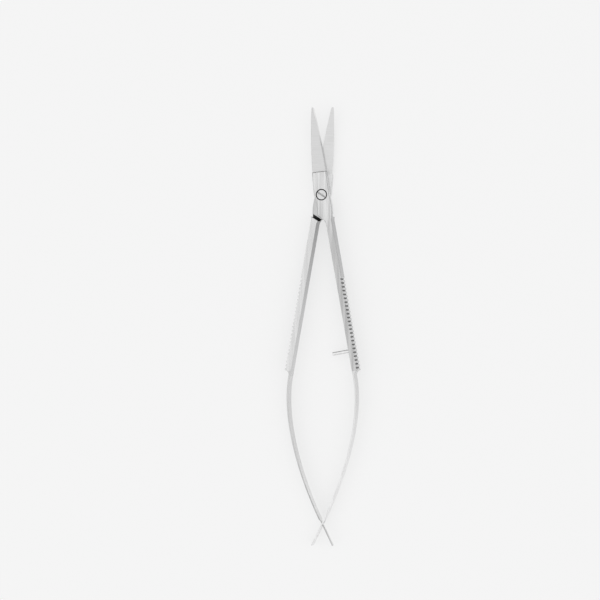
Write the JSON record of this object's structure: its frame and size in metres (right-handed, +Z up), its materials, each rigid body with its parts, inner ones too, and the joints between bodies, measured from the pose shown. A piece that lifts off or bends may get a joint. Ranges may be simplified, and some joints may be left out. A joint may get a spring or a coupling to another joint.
{
  "type": "eyebrow scissors",
  "caption": "Self-opening eyebrow scissors with short straight blades, a slotted pivot screw, serrated squeeze arms, a stop pin and crossed spring leaves.",
  "frame": {"origin": "middle of the length and width, on the surface that the arms lie on", "axes": "+Y from the crossed tails to the blade tips, +X towards the front half's arm, +Z up out of the scissors' plane, on the side of the screw's head"},
  "size_m": [0.0194, 0.1149, 0.0044],
  "materials": {
    "forged_steel": "satin on the blades, polished on the joint and arms",
    "spring_steel": "polished",
    "screw_steel": "turned and polished",
    "pin_steel": "ground and polished"
  },
  "bodies": {
    "front_half": {"front_half": "forged_steel", "stop_pin": "pin_steel"},
    "front_leaf": {"front_spring_leaf": "spring_steel"},
    "rear_half": {"rear_half": "forged_steel", "pivot_screw": "screw_steel"},
    "rear_leaf": {"rear_spring_leaf": "spring_steel"}
  },
  "joints": [
    {"name": "blade_pivot", "type": "hinge", "parent": "front_half", "child": "rear_half", "pos_m": [0, 0.03439, 0.0022], "axis": [0, 0, 1], "range_deg": [0, 13.5], "stiffness_Nm_per_rad": 0.3},
    {"name": "front_leaf_flex", "type": "hinge", "parent": "front_half", "child": "front_leaf", "pos_m": [0.00858, -0.01304, 0.0022], "axis": [0, 0, 1], "range_deg": [0, 15]},
    {"name": "rear_leaf_flex", "type": "hinge", "parent": "rear_half", "child": "rear_leaf", "pos_m": [-0.00858, -0.01304, 0.0022], "axis": [0, 0, 1], "range_deg": [-15, 0]}
  ],
  "couplings": [
    {"joint": "front_leaf_flex", "follows": "blade_pivot", "ratio": 1.109},
    {"joint": "rear_leaf_flex", "follows": "blade_pivot", "ratio": -1.109}
  ]
}
